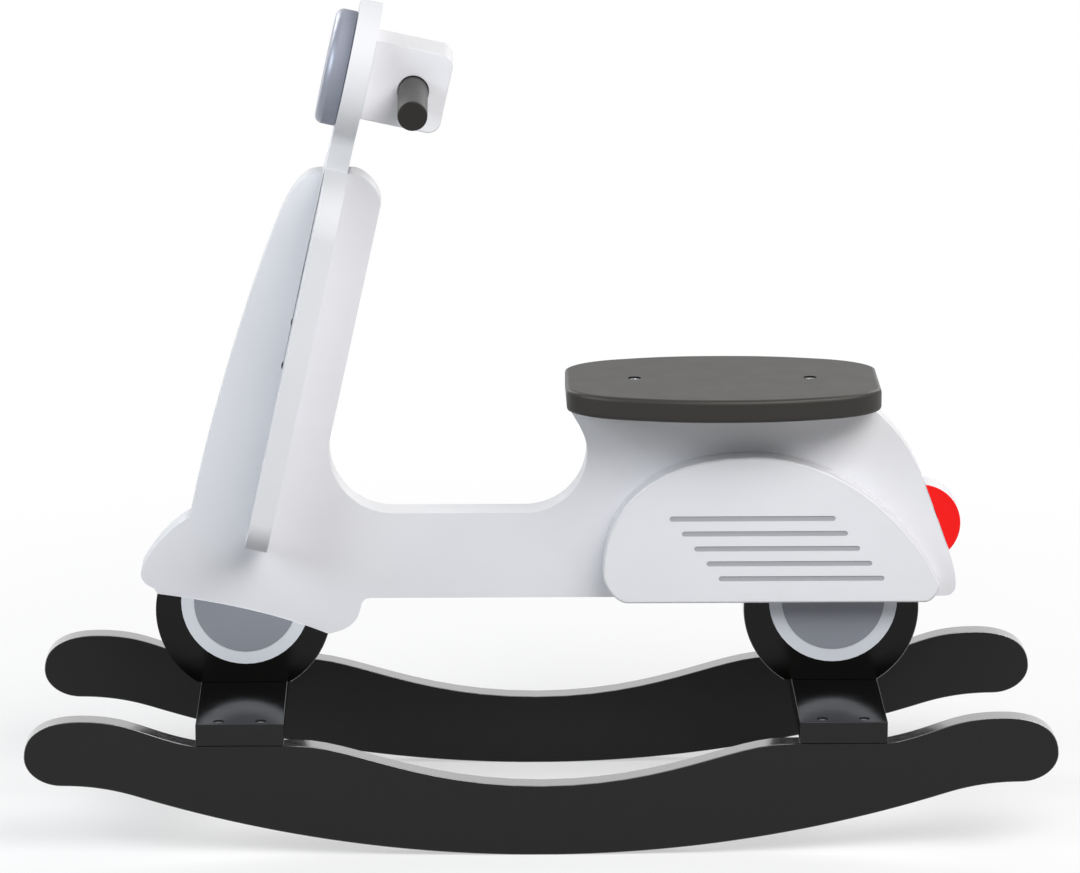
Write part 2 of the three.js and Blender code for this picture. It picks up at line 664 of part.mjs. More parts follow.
function shieldShape() {
  const slot = PANEL_BOARD / 2 + FIT_GAP;
  const foot = SHIELD_FOOT_WIDTH / 2;
  const waist = SHIELD_WIDTH / 2;
  const neck = NECK_WIDTH / 2;
  const reach = HEAD_RADIUS + NECK_FILLET;
  const across = neck + NECK_FILLET;
  const drop = Math.sqrt(reach ** 2 - across ** 2);
  const meet = Math.atan2(drop, across);
  const half = new THREE.Path();
  half.moveTo(0, LAP_UP + FIT_GAP);
  half.lineTo(slot, LAP_UP + FIT_GAP);
  half.lineTo(slot, SHIELD_FOOT_UP);
  half.absarc(foot - SHIELD_CORNER, SHIELD_FOOT_UP + SHIELD_CORNER, SHIELD_CORNER, -SQUARE_TURN, 0, false);
  half.lineTo(waist, SHOULDER_UP - SHOULDER_DROP);
  curveTo(half, [neck, SHOULDER_UP], HANDLE_SHARES.shieldShoulder);
  half.absarc(across, HEAD_UP - drop, NECK_FILLET, Math.PI, Math.PI - meet, true);
  half.absarc(0, HEAD_UP, HEAD_RADIUS, -meet, SQUARE_TURN, false);
  return mirroredShape(half);
}

function lampDowelPlaces() {
  const offset = LAMP_DOWEL_SPACING / 2;
  return [-offset, offset];
}

function blockScrewPlaces() {
  const offset = BLOCK_SCREW_SPACING / 2;
  return [-offset, offset];
}

// In the stem's group x runs rearwards through the boards, so boards drawn flat are turned
function acrossStem(geometry) {
  return geometry.rotateY(SQUARE_TURN);
}

// A screw, or its room, that enters from the front and runs rearwards
function rearwards(geometry) {
  return geometry.rotateZ(SQUARE_TURN);
}

function addLegShield() {
  const holes = [];
  for (const y of blockScrewPlaces()) {
    const hole = rearwards(screwRoom(BLOCK_SCREW_LENGTH));
    holes.push(hole.translate(-BOARD / 2, HEAD_UP + y, 0));
  }
  for (const z of lampDowelPlaces()) {
    const hole = rearwards(dowelRoom(BOARD));
    holes.push(hole.translate(-BOARD / 2 - FIT_GAP / 2, HEAD_UP, z));
  }
  const board = acrossStem(boardGeometry(shieldShape(), BOARD));
  addPiece(stem, 'leg_shield', cut(board, holes), WHITE);
}

// Headlight: a disc with a rounded front edge, on the front of the head

function addHeadlight() {
  const profile = [[0, 0], [LAMP_RADIUS, 0]];
  const shoulder = new THREE.Path();
  const front = LAMP_BOARD - LAMP_ROUNDING;
  shoulder.absarc(LAMP_RADIUS - LAMP_ROUNDING, front, LAMP_ROUNDING, 0, SQUARE_TURN, false);
  for (const point of shoulder.getPoints(SMALL_ROUND_STEPS / 4)) {
    profile.push([point.x, point.y]);
  }
  profile.push([0, LAMP_BOARD]);
  const disc = latheGeometry(profile, ROUND_STEPS).rotateZ(SQUARE_TURN);
  const holes = lampDowelPlaces().map((z) => rearwards(dowelRoom(BOARD)).translate(FIT_GAP / 2, 0, z));
  const lamp = addPiece(stem, 'headlight', cut(disc, holes), LAMP_GREY);
  lamp.position.set(-BOARD / 2 - FIT_GAP, HEAD_UP, 0);
  lampDowelPlaces().forEach((z, index) => {
    const dowel = addPiece(stem, `headlight_dowel_${index + 1}`, dowelGeometry(BOARD), WOOD);
    dowel.rotation.z = SQUARE_TURN;
    dowel.position.set(-BOARD / 2 - FIT_GAP / 2, HEAD_UP, z);
  });
}

// Handlebar block: glued up from three boards, rounded at its rear corners

function blockShape() {
  const front = BOARD / 2 + FIT_GAP;
  const rear = front + BLOCK_LENGTH;
  const bottom = HEAD_UP - BLOCK_HEIGHT / 2;
  const top = HEAD_UP + BLOCK_HEIGHT / 2;
  const shape = new THREE.Shape();
  shape.moveTo(front, top);
  shape.lineTo(front, bottom);
  shape.absarc(rear - BLOCK_CORNER, bottom + BLOCK_CORNER, BLOCK_CORNER, -SQUARE_TURN, 0, false);
  shape.absarc(rear - BLOCK_CORNER, top - BLOCK_CORNER, BLOCK_CORNER, 0, SQUARE_TURN, false);
  return shape;
}

function cylinderAcross(radius, length) {
  return new THREE.CylinderGeometry(radius, radius, length, ROUND_STEPS / 2).rotateX(SQUARE_TURN);
}

function addHandlebarBlock() {
  const bore = HANDLEBAR_RADIUS + FIT_GAP;
  const mouth = HANDLEBAR_RADIUS + BORE_MOUTH_GAP;
  const holes = [cylinderAcross(bore, BLOCK_WIDTH + 2 * CUT_OVERRUN)];
  for (const sign of [1, -1]) {
    const length = BORE_MOUTH_DEPTH + CUT_OVERRUN;
    const middle = BLOCK_WIDTH / 2 + (CUT_OVERRUN - BORE_MOUTH_DEPTH) / 2;
    holes.push(cylinderAcross(mouth, length).translate(0, 0, sign * middle));
  }
  holes.push(screwRoom(BAR_SCREW_LENGTH).rotateX(Math.PI).translate(0, HANDLEBAR_DROP - BLOCK_HEIGHT / 2, 0));
  for (const hole of holes) {
    hole.translate(HANDLEBAR_BEHIND, HEAD_UP - HANDLEBAR_DROP, 0);
  }
  for (const y of blockScrewPlaces()) {
    const hole = rearwards(screwRoom(BLOCK_SCREW_LENGTH));
    holes.push(hole.translate(-BOARD / 2, HEAD_UP + y, 0));
  }
  addPiece(stem, 'handlebar_block', cut(boardGeometry(blockShape(), BLOCK_WIDTH), holes), WHITE);
  blockScrewPlaces().forEach((y, index) => {
    const screw = addPiece(stem, `block_screw_${index + 1}`, screwGeometry(BLOCK_SCREW_LENGTH), STEEL);
    screw.rotation.z = SQUARE_TURN;
    screw.position.set(-BOARD / 2, HEAD_UP + y, 0);
  });
}

function addHandlebar() {
  const end = HANDLEBAR_LENGTH / 2;
  const radius = HANDLEBAR_RADIUS;
  const profile = [
    [0, -end],
    [radius - HANDLEBAR_ROUNDING, -end],
    [radius, HANDLEBAR_ROUNDING - end],
    [radius, end - HANDLEBAR_ROUNDING],
    [radius - HANDLEBAR_ROUNDING, end],
    [0, end],
  ];
  const bar = latheGeometry(profile, ROUND_STEPS / 2).rotateX(SQUARE_TURN);
  const hole = screwRoom(BAR_SCREW_LENGTH).rotateX(Math.PI);
  hole.translate(0, HANDLEBAR_DROP - BLOCK_HEIGHT / 2, 0);
  const handlebar = addPiece(stem, 'handlebar', cut(bar, [hole]), SEAT_GREY);
  handlebar.position.set(HANDLEBAR_BEHIND, HEAD_UP - HANDLEBAR_DROP, 0);
  const screw = addPiece(stem, 'handlebar_screw', screwGeometry(BAR_SCREW_LENGTH), STEEL);
  screw.rotation.x = Math.PI;
  screw.position.set(HANDLEBAR_BEHIND, HEAD_UP - BLOCK_HEIGHT / 2, 0);
}

// Seat: barrel-shaped in plan, drawn with x rearwards and y across, z up

function seatQuarter() {
  const inset = SEAT_ROUNDING;
  const endX = SEAT_LENGTH / 2 - inset;
  const sideY = SEAT_WIDTH / 2 - inset;
  const [xShare, yShare] = SEAT_SHOULDER_SHARES;
  const quarter = new THREE.Path();
  quarter.moveTo(endX, 0);
  quarter.lineTo(endX, SEAT_END_WIDTH / 2 - inset);
  curveTo(quarter, [endX - xShare * endX, yShare * sideY], HANDLE_SHARES.seatCorner);
  curveTo(quarter, [0, sideY], HANDLE_SHARES.seatSide);
  return quarter.getPoints(CURVE_STEPS);
}

function seatShape() {
  const quarter = seatQuarter().slice(1);
  const flip = (points, x, y) => points.map((point) => new THREE.Vector2(x * point.x, y * point.y));
  const rearLeft = flip(quarter, 1, 1);
  const frontLeft = flip(quarter.slice(0, -1), -1, 1).reverse();
  const frontRight = flip(quarter, -1, -1);
  const rearRight = flip(quarter.slice(0, -1), 1, -1).reverse();
  return new THREE.Shape([...rearLeft, ...frontLeft, ...frontRight, ...rearRight]);
}

function addSeat() {
  const settings = {
    depth: SEAT_BOARD - 2 * SEAT_ROUNDING,
    bevelThickness: SEAT_ROUNDING,
    bevelSize: SEAT_ROUNDING,
    bevelSegments: SEAT_ROUNDING_STEPS,
  };
  const plate = new THREE.ExtrudeGeometry(seatShape(), settings).translate(0, 0, SEAT_ROUNDING);
  const holes = seatScrewPlaces().map((x) => {
    const hole = screwRoom(BODY_SCREW_LENGTH, SEAT_SCREW_HEAD_RADIUS);
    return hole.rotateX(SQUARE_TURN).translate(x, 0, SEAT_BOARD);
  });
  const seat = addPiece(side, 'seat', cut(plate, holes), SEAT_GREY);
  seat.rotation.x = -SQUARE_TURN;
  seat.position.set(seatMiddle, seatRest + FIT_GAP, 0);
  seatScrewPlaces().forEach((offset, index) => {
    const geometry = screwGeometry(BODY_SCREW_LENGTH, SEAT_SCREW_HEAD_RADIUS);
    const screw = addPiece(side, `seat_screw_${index + 1}`, geometry, STEEL);
    screw.position.set(seatMiddle + offset, seatRest + FIT_GAP + SEAT_BOARD, 0);
  });
}

// Side covers: a half teardrop with five routed lines in its outer face

function coverShape() {
  const shape = new THREE.Shape();
  shape.moveTo(COVER_LENGTH - COVER_REAR_CORNER, 0);
  shape.lineTo(COVER_FRONT_CORNER, 0);
  curveTo(shape, [0, COVER_FRONT_RISE], HANDLE_SHARES.roundCorner);
  curveTo(shape, [COVER_PEAK, COVER_HEIGHT], HANDLE_SHARES.coverFront);
  curveTo(shape, [COVER_LENGTH, COVER_REAR_RISE], HANDLE_SHARES.coverBack);
  curveTo(shape, [COVER_LENGTH - COVER_REAR_CORNER, 0], HANDLE_SHARES.cornerUp);
  return shape;
}

// Cutters for the lines in the face that looks to z times sign
function lineCutters(sign) {
  const end = LINE_WIDTH / 2;
  const start = sign > 0 ? COVER_BOARD / 2 - LINE_DEPTH : -COVER_BOARD / 2 - CUT_OVERRUN;
  return Array.from({ length: LINE_COUNT }, (_, index) => {
    const line = new THREE.Shape();
    line.absarc(end, 0, end, SQUARE_TURN, 3 * SQUARE_TURN, false);
    line.absarc(LINE_LENGTH - end, 0, end, -SQUARE_TURN, SQUARE_TURN, false);
    const settings = {
      depth: LINE_DEPTH + CUT_OVERRUN,
      bevelEnabled: false,
      curveSegments: SMALL_ROUND_STEPS / 4,
    };
    const cutter = new THREE.ExtrudeGeometry(line, settings);
    const x = TOP_LINE_SETBACK + index * LINE_STEP;
    const y = TOP_LINE_RISE - index * LINE_PITCH;
    return cutter.translate(x, y, start);
  });
}

function addSideCovers() {
  for (const [hand, sign] of [['left', 1], ['right', -1]]) {
    const holes = lineCutters(sign);
    const board = boardGeometry(coverShape(), COVER_BOARD);
    const middle = sign * (panelFace + FIT_GAP + COVER_BOARD / 2);
    for (const [x, y] of coverDowelPlaces()) {
      const hole = dowelRoom(coverDowelLength()).rotateX(SQUARE_TURN);
      holes.push(hole.translate(x - coverFront, y - bodyBottom, -middle));
    }
    const cover = addPiece(side, `side_cover_${hand}`, cut(board, holes), WHITE);
    cover.position.set(coverFront, bodyBottom, middle);
  }
  coverDowelPlaces().forEach(([x, y], index) => {
    const dowel = addPiece(side, `cover_dowel_${index + 1}`, dowelGeometry(coverDowelLength()), WOOD);
    dowel.rotation.x = SQUARE_TURN;
    dowel.position.set(x, y, 0);
  });
}

// Tail light: the segment of a disc, on the leaning flat of the tail

function addTailLight() {
  const foot = tailLightFoot();
  const top = tailLightTop();
  const half = TAIL_LIGHT_HEIGHT / 2;
  const radius = (half ** 2 + TAIL_LIGHT_BULGE ** 2) / (2 * TAIL_LIGHT_BULGE);
  const tilt = THREE.MathUtils.degToRad(TAIL_LIGHT_LEAN_DEG);
  const facing = new THREE.Vector2(Math.cos(tilt), Math.sin(tilt));
  const middle = foot.clone().add(top).multiplyScalar(1 / 2);
  const centre = middle.addScaledVector(facing, TAIL_LIGHT_BULGE - radius + FIT_GAP);
  const spread = Math.asin(half / radius);
  const shape = new THREE.Shape();
  shape.absarc(centre.x, centre.y, radius, tilt - spread, tilt + spread, false);
  const hole = placeTailDowel(dowelRoom(2 * TAIL_DOWEL_BITE));
  addPiece(side, 'tail_light', cut(boardGeometry(shape, PANEL_BOARD), [hole]), RED);
  const dowel = placeTailDowel(dowelGeometry(2 * TAIL_DOWEL_BITE));
  addPiece(side, 'tail_light_dowel', dowel, WOOD);
}

addRockers();
addCrossbar('crossbar_front', frontCrossbar, frontAxle);
addCrossbar('crossbar_rear', rearCrossbar, rearAxle);
addCrossbarScrews('front', frontCrossbar);
addCrossbarScrews('rear', rearCrossbar);
addWheel('front_wheel', frontWheelShape(), frontAxle, fenderJointHeight);
addWheel('rear_wheel', rearWheelShape(), rearAxle, () => bodyBottom);
addBodyPanel();
addLegShield();
addHeadlight();
addHandlebarBlock();
addHandlebar();
addSeat();
addSideCovers();
addTailLight();

export default scooter;
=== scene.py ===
import math

import bmesh
import bpy
from mathutils import Matrix, Vector


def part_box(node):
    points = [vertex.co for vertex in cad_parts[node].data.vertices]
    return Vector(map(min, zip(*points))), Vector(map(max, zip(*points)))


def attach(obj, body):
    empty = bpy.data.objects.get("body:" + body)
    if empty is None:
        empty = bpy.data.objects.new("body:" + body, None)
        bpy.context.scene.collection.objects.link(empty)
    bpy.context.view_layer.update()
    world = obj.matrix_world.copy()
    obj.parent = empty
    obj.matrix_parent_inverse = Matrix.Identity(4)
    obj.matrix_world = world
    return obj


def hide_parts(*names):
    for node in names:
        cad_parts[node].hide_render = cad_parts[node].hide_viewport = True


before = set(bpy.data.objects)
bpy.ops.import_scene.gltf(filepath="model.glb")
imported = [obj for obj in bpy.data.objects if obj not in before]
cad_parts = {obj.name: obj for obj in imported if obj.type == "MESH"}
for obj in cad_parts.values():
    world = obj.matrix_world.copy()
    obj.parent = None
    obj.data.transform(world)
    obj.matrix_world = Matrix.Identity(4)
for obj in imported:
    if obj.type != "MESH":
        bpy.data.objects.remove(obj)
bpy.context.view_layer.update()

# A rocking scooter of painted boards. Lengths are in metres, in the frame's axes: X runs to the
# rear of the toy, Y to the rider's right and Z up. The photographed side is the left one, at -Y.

MM = 0.001
ALONG = Vector((1, 0, 0))
ACROSS = Vector((0, 1, 0))
UP = Vector((0, 0, 1))

HANDS = ("left", "right")
WHEELS = ("front_wheel", "rear_wheel")
CROSSBARS = ("crossbar_front", "crossbar_rear")
STEM_BOARD = "leg_shield"

# Joining the triangles of a copied board into flat faces
WELD = 0.002 * MM
SAME_PLACE = 5 * WELD
FLAT_ANGLE = math.radians(0.05)

# Edges that are shaded as sharp, and edges of the seat that are rounded
SHARP_ANGLE = math.radians(30)
CREASE_ANGLE = math.radians(12)

# How much the large faces lead the shading of the small ones beside them, out of 100
LARGE_FACE_WEIGHT = 100

# Cosines between a face's normal and an axis: a board's face is near 1, and its wall near 0
FRONT_COSINE = 0.9
FACE_COSINE = 0.98
PAINT_COSINE = 0.999
WALL_COSINE = 0.2

# Rounded rims of the boards
WHITE_RIM = 1.7 * MM
ROCKER_RIM = 0.5 * MM
CROSSBAR_RIM = 0.6 * MM
TYRE_RIM = 0.5 * MM
TAIL_LIGHT_RIM = 0.5 * MM
SEAT_RIM = 0.7 * MM
RIM_STEPS = 4
SEAT_RIM_STEPS = 2

# How far past a screw, the slot or a joint an edge still counts as its own
HOLE_MARGIN = 1.2 * MM
SLOT_MARGIN = 5 * MM
JOINT_MARGIN = 0.4 * MM

# What is cut off a tyre's foot, and a depth that no routed line reaches
TYRE_FLAT = 10.5 * MM
LINE_DEPTH_LIMIT = 1 * MM

# Headlight and handlebar. A rounding is its radius and the number of its steps.
HEADLIGHT_FRONT_ROUNDING = (6 * MM, 10)
HEADLIGHT_BACK_ROUNDING = (0.8 * MM, 3)
HEADLIGHT_STEPS = 96
BAR_ROUNDING = (1.2 * MM, 4)
BAR_STEPS = 48

# Screws
SCREW_STEPS = 32
SHANK_RADIUS = 2.2 * MM
SCREW_POINT = 5 * MM
HEAD_DEPTH = 2.4 * MM
HEAD_LAND = 0.35 * MM
HEAD_SINK = 1.0 * MM
RECESS_ARM_SHARE = 0.56
RECESS_WIDTH_SHARE = 0.2
RECESS_DEPTH = 1.7 * MM
RECESS_TAPER = 0.72
TURN_PER_SCREW = math.radians(137.5)

# Detail of a noise, from a smooth one to a fibrous one
SMOOTH = 2
CLOUDY = 3
FIBROUS = 4

# Sprayed lacquer. A drift is the share by which a colour or a roughness strays from its mean.
CLOUD_SIZE = 90 * MM
CLOUD_DRIFT = 0.02
GLOSS_SIZE = 14 * MM
GLOSS_DRIFT = 0.12
GLOSS_SEED = 5
PEEL_SIZE = 2.2 * MM
PEEL_DEPTH = 0.006 * MM
FIBRE_SIZE = 0.7 * MM
FIBRE_DEPTH = 0.012 * MM
FIBRE_SEED = 9
COAT_ROUGHNESS = 0.1
COAT_IOR = 2.0

# Powdery charcoal paint
POWDER_SIZE = 0.5 * MM
POWDER_DRIFT = 0.15
POWDER_CLOUD_SIZE = 60 * MM
POWDER_CLOUD_DRIFT = 0.06
POWDER_GLOSS_SIZE = 20 * MM
POWDER_GLOSS_DRIFT = 0.03
POWDER_GLOSS_SEED = 3
POWDER_SHINE_TINT = (1, 0.96, 0.88, 1)
POWDER_FINE_SIZE = 0.6 * MM
POWDER_FINE_DEPTH = 0.02 * MM
POWDER_BROAD_SIZE = 3 * MM
POWDER_BROAD_DEPTH = 0.008 * MM
POWDER_BROAD_SEED = 2

# Printed film
INK_SIZE = 0.4 * MM
INK_DRIFT = 0.04
FILM_GLOSS_SIZE = 10 * MM
FILM_ROUGHNESS = (0.36, 0.46)
FILM_SIZE = 1.6 * MM
FILM_DEPTH = 0.004 * MM

# Silver paint. The flake range is the stretch of the cell pattern that the colour runs over.
FLAKE_SIZE = 0.35 * MM
FLAKE_RANGE = (0.1, 0.7)
FLAKE_LIGHT = 1.12
FLAKE_DARK = 0.9
SILVER_GLOSS_SIZE = 8 * MM
SILVER_GLOSS_DRIFT = 0.05
SILVER_PEEL_SIZE = 2 * MM
SILVER_PEEL_DEPTH = 0.005 * MM

# Dark zinc-plated steel
STEEL_DARK = (0.3, 0.3, 0.31)
STEEL_LIGHT = (0.5, 0.5, 0.51)
SCUFF_SIZE = 1.2 * MM
STEEL_GLOSS_SIZE = 0.5 * MM
STEEL_GLOSS_SEED = 4
STEEL_ROUGHNESS = (0.24, 0.42)
STEEL_GRAIN_SIZE = 0.3 * MM
STEEL_GRAIN_DEPTH = 0.006 * MM

# Bare beech
BEECH_DARK = (0.55, 0.36, 0.19)
BEECH_LIGHT = (0.74, 0.54, 0.33)
GRAIN_SIZE = 0.7 * MM
GRAIN_STRETCH = 12
BEECH_GLOSS_SIZE = 2 * MM
BEECH_ROUGHNESS = (0.62, 0.78)
PORE_SIZE = 0.5 * MM
PORE_DEPTH = 0.03 * MM

# Camera, solved from the photograph. Its dip and turn are in degrees.
PHOTO_WIDTH = 1080
FOCAL_PIXELS = 5900
SENSOR_WIDTH = 36
CAMERA_PLACE = (-0.069851, -4.445818, 1.383484)
CAMERA_DIP = 13.72
CAMERA_TURN = -0.908
CAMERA_REACH = 50

# Light
SOFTBOX_DISTANCE = 2.6
SOFTBOX_AIM = Vector((0, 0, 0.3))
WARM_LIGHT = (1, 0.985, 0.98)
COOL_LIGHT = (0.87, 0.935, 1)
WHITE = (1, 1, 1)
ROOM_FILL = (0.07, 0.07, 0.07)

# Floor. The lift is the share of the toy's shadow that is taken away before the fade starts.
FLOOR_RADIUS = 12.0
FLOOR_STEPS = 96
FLOOR_SEEN = (0.9, 0.9, 0.9)
FLOOR_UNSEEN = (0.5, 0.5, 0.5)
FLOOR_ROUGHNESS = 0.9
FLOOR_SHINE = 0.1
SHADOW_LIFT = 0.5
FADE_START = 0.45
FADE_END = 1.1


# Measuring the frame

BOXES = {node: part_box(node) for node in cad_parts}


def nodes_named(text):
    """The CAD nodes with a text in their names, in the order of their names."""
    return sorted(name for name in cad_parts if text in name)


def reach(node, direction):
    """The lowest and highest place of a CAD node along a direction."""
    places = [vertex.co.dot(direction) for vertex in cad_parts[node].data.vertices]
    return min(places), max(places)


def middle(node, direction):
    low, high = reach(node, direction)
    return (low + high) / 2


def near_nodes(point, nodes, margin):
    """Whether a point is in the box of one of the nodes, or less than a margin outside it."""
    for node in nodes:
        low, high = BOXES[node]
        if all(low[i] - margin < point[i] < high[i] + margin for i in range(3)):
            return True
    return False


def stem_facing():
    """The direction that the front of the leaning leg shield faces."""
    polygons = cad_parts[STEM_BOARD].data.polygons
    front = [polygon for polygon in polygons if polygon.normal.x < -FRONT_COSINE]
    return max(front, key=lambda polygon: polygon.area).normal.copy()


FORWARD = stem_facing()
STEM_UP = ACROSS.cross(FORWARD) * -1


def tyre_circle(wheel):
    """Middle and radius of a wheel's round outline in side view. Both wheels have one radius."""
    rear_left, rear_right = reach("rear_wheel", ALONG)
    radius = (rear_right - rear_left) / 2
    _, right = reach(wheel, ALONG)
    bottom, _ = reach(wheel, UP)
    return Vector((right - radius, 0, bottom + radius - TYRE_FLAT)), radius


# Making and finishing meshes


def cad_copy(node):
    """A copy of a CAD node's mesh with its triangles joined into flat faces."""
    bm = bmesh.new()
    bm.from_mesh(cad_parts[node].data)
    bmesh.ops.remove_doubles(bm, verts=bm.verts, dist=WELD)
    bmesh.ops.dissolve_limit(bm, angle_limit=FLAT_ANGLE, verts=bm.verts, edges=bm.edges)
    bm.normal_update()
    return bm


def edge_middle(edge):
    return (edge.verts[0].co + edge.verts[1].co) / 2


def spans_from(edge, centre):
    """How far the two ends of an edge are from a place, in side view."""
    ends = [Vector((vertex.co.x, 0, vertex.co.z)) for vertex in edge.verts]
    return [(end - centre).length for end in ends]


def is_rim(edge, axis):
    """Whether an edge lies between a face square to the axis and a wall along it."""
    if len(edge.link_faces) != 2 or not edge.is_convex:
        return False
    cosines = sorted(abs(face.normal.dot(axis)) for face in edge.link_faces)
    return cosines[0] < WALL_COSINE and cosines[1] > FACE_COSINE


def near_fasteners(edge, fasteners):
    return near_nodes(edge_middle(edge), fasteners, HOLE_MARGIN)


def round_edges(bm, edges, width, steps=RIM_STEPS):
    bmesh.ops.bevel(
        bm,
        geom=edges,
        offset=width,
        offset_type="OFFSET",
        segments=steps,
        profile=0.5,
        affect="EDGES",
        clamp_overlap=True,
        material=-1,
    )
    bm.normal_update()


def add_object(name, data):
    thing = bpy.data.objects.new(name, data)
    bpy.context.scene.collection.objects.link(thing)
    return thing


def settle_order(bm):
    """Sorts the faces by place, because a spin leaves them in an order that varies."""
    order = sorted(bm.faces, key=lambda face: face.calc_center_median().to_tuple())
    for index, face in enumerate(order):
        face.index = index
    bm.faces.sort()


def finish_piece(name, bm, materials, replaced):
    """Turns a bmesh into a piece that rides on the toy and stands for its CAD nodes."""
    settle_order(bm)
    mesh = bpy.data.meshes.new(name)
    bm.to_mesh(mesh)
    bm.free()
    mesh.shade_smooth()
    mesh.set_sharp_from_angle(angle=SHARP_ANGLE)
    for material in materials:
        mesh.materials.append(material)
    piece = add_object(name, mesh)
    weighted = piece.modifiers.new("Even faces", "WEIGHTED_NORMAL")
    weighted.keep_sharp = True
    weighted.weight = LARGE_FACE_WEIGHT
    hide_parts(*replaced)
    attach(piece, "root")


def paint_edges(bm, axis):
    """Gives the walls and rims of a board the second material, and its faces the first."""
    for face in bm.faces:
        face.material_index = 0 if abs(face.normal.dot(axis)) > PAINT_COSINE else 1


def paint_hole_shade(bm, fasteners):
    """Gives the walls of upright screw holes the second material, a near-black paint that stands
    for the shade inside them.
    """
    for face in bm.faces:
        inside = near_nodes(face.calc_center_median(), fasteners, HOLE_MARGIN)
        if inside and abs(face.normal.z) < FACE_COSINE:
            face.material_index = 1


def board(node, axis, rim, keep_sharp, finishes):
    """A board whose rims are rounded, apart from the edges that keep_sharp picks."""
    bm = cad_copy(node)
    edges = [edge for edge in bm.edges if is_rim(edge, axis) and not keep_sharp(edge)]
    round_edges(bm, edges, rim)
    paint_edges(bm, axis)
    finish_piece(f"{node}_board", bm, finishes, [node])


# Material nodes


def start_material(name):
    material = bpy.data.materials.new(name)
    material.use_nodes = True
    return material, material.node_tree, material.node_tree.nodes["Principled BSDF"]


def patches(tree, size, detail=SMOOTH, stretch=(1, 1, 1), seed=0):
    """Soft noise over the piece, in patches of about the given size."""
    coordinates = tree.nodes.new("ShaderNodeTexCoord")
    mapping = tree.nodes.new("ShaderNodeMapping")
    mapping.inputs["Scale"].default_value = [1 / (size * share) for share in stretch]
    mapping.inputs["Location"].default_value = (seed, seed, seed)
    noise = tree.nodes.new("ShaderNodeTexNoise")
    noise.inputs["Scale"].default_value = 1
    noise.inputs["Detail"].default_value = detail
    tree.links.new(coordinates.outputs["Object"], mapping.inputs["Vector"])
    tree.links.new(mapping.outputs["Vector"], noise.inputs["Vector"])
    return noise.outputs["Fac"]


def spread(tree, source, low, high, start=0.3, end=0.7):
    """A number that runs from low to high as the source goes from start to end."""
    ranged = tree.nodes.new("ShaderNodeMapRange")
    ranged.inputs["From Min"].default_value = start
    ranged.inputs["From Max"].default_value = end
    ranged.inputs["To Min"].default_value = low
    ranged.inputs["To Max"].default_value = high
    tree.links.new(source, ranged.inputs["Value"])
    return ranged.outputs["Result"]


def combined(tree, operation, first, second):
    """A number worked out from two others."""
    node = tree.nodes.new("ShaderNodeMath")
    node.operation = operation
    tree.links.new(first, node.inputs[0])
    tree.links.new(second, node.inputs[1])
    return node.outputs["Value"]


def blend_colours(tree, factor, first, second):
    """A colour between two others."""
    mix = tree.nodes.new("ShaderNodeMix")
    mix.data_type = "RGBA"
    mix.inputs["A"].default_value = (*first, 1)
    mix.inputs["B"].default_value = (*second, 1)
    tree.links.new(factor, mix.inputs["Factor"])
    return mix.outputs["Result"]


def shade(colour, factor):
    return tuple(channel * factor for channel in colour)


def drift(colour, share):
    """The darkest and lightest shades of a colour that strays by a share."""
    return shade(colour, 1 - share), shade(colour, 1 + share)


def vary_colour(tree, shader, factor, shades):
    tree.links.new(blend_colours(tree, factor, *shades), shader.inputs["Base Color"])


def vary_roughness(tree, shader, noise, low, high):
    tree.links.new(spread(tree, noise, low, high), shader.inputs["Roughness"])


def relief(tree, shader, layers):
    """Bumps in the surface. Each layer is a height socket and its depth."""
    previous = None
    for height, depth in layers:
        bump = tree.nodes.new("ShaderNodeBump")
        bump.inputs["Strength"].default_value = 1
        bump.inputs["Distance"].default_value = depth
        tree.links.new(height, bump.inputs["Height"])
        if previous:
            tree.links.new(previous, bump.inputs["Normal"])
        previous = bump.outputs["Normal"]
    tree.links.new(previous, shader.inputs["Normal"])


# Kinds of finish


def lacquer(name, colour, roughness, shine=0.5, coat=0.0, fibres=False, seed=0):
    """Sprayed paint on fibreboard: faint clouds in the colour and gloss, and orange peel.

    With fibres it is a cut edge, where the board's raised fibres show under the paint.
    """
    material, tree, shader = start_material(name)
    clouds = spread(tree, patches(tree, CLOUD_SIZE, CLOUDY, seed=seed), 0, 1)
    vary_colour(tree, shader, clouds, drift(colour, CLOUD_DRIFT))
    gloss = patches(tree, GLOSS_SIZE, CLOUDY, seed=seed + GLOSS_SEED)
    low, high = roughness * (1 - GLOSS_DRIFT), roughness * (1 + GLOSS_DRIFT)
    vary_roughness(tree, shader, gloss, low, high)
    shader.inputs["Specular IOR Level"].default_value = shine
    shader.inputs["Coat Weight"].default_value = coat
    shader.inputs["Coat Roughness"].default_value = COAT_ROUGHNESS
    shader.inputs["Coat IOR"].default_value = COAT_IOR
    layers = [(patches(tree, PEEL_SIZE, seed=seed), PEEL_DEPTH)]
    if fibres:
        raised = patches(tree, FIBRE_SIZE, FIBROUS, seed=seed + FIBRE_SEED)
        layers.append((raised, FIBRE_DEPTH))
    relief(tree, shader, layers)
    return material


